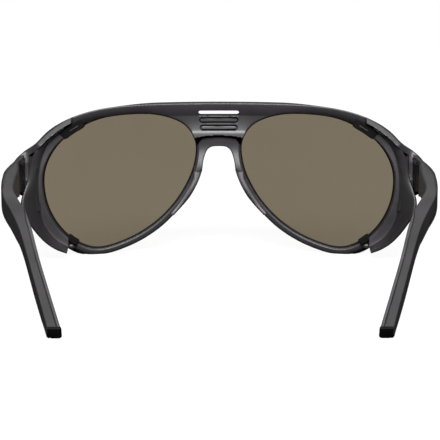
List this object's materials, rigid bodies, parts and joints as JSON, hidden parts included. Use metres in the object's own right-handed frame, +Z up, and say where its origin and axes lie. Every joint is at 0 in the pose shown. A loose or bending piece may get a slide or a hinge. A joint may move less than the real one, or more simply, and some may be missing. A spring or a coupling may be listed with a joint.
{
  "type": "glacier glasses",
  "caption": "Aviator glacier glasses with tinted lenses, wrap-around side shields, soft nose pads and folding temples on screwed hinges.",
  "frame": {"origin": "on the table midway between the rims' front and the temple tips, on the middle plane", "axes": "+Z up, front faces -Y, temples point to +Y, wearer's left is +X"},
  "size_m": [0.151, 0.1324, 0.055],
  "materials": {
    "frame_nylon": "satin charcoal",
    "temple_nylon": "satin charcoal",
    "shield_plastic": "matte black",
    "lens_glass": "grey-brown tint",
    "pad_rubber": "soft matte",
    "grip_rubber": "soft matte",
    "hinge_steel": "brushed",
    "screw_steel": "polished",
    "core_wire": "drawn wire"
  },
  "bodies": {
    "front": {"front_frame": "frame_nylon", "lens_left": "lens_glass", "lens_right": "lens_glass", "nose_pad_left": "pad_rubber", "nose_pad_right": "pad_rubber", "side_shield_left": "shield_plastic", "side_shield_right": "shield_plastic", "shield_snap_left": "shield_plastic", "shield_snap_right": "shield_plastic", "hinge_front_leaf_left": "hinge_steel", "hinge_front_leaf_right": "hinge_steel", "hinge_screw_left": "screw_steel", "hinge_screw_right": "screw_steel"},
    "left_temple": {"temple_left": "temple_nylon", "temple_grip_left": "grip_rubber", "temple_wire_left": "core_wire", "hinge_temple_leaf_left": "hinge_steel"},
    "right_temple": {"temple_right": "temple_nylon", "temple_grip_right": "grip_rubber", "temple_wire_right": "core_wire", "hinge_temple_leaf_right": "hinge_steel"}
  },
  "joints": [
    {"name": "left_temple_fold", "type": "hinge", "parent": "front", "child": "left_temple", "pos_m": [0.0713, -0.04565, 0.0303], "axis": [0, 0, 1], "range_deg": [0, 81]},
    {"name": "right_temple_fold", "type": "hinge", "parent": "front", "child": "right_temple", "pos_m": [-0.0713, -0.04565, 0.0303], "axis": [0, 0, -1], "range_deg": [0, 73]}
  ]
}
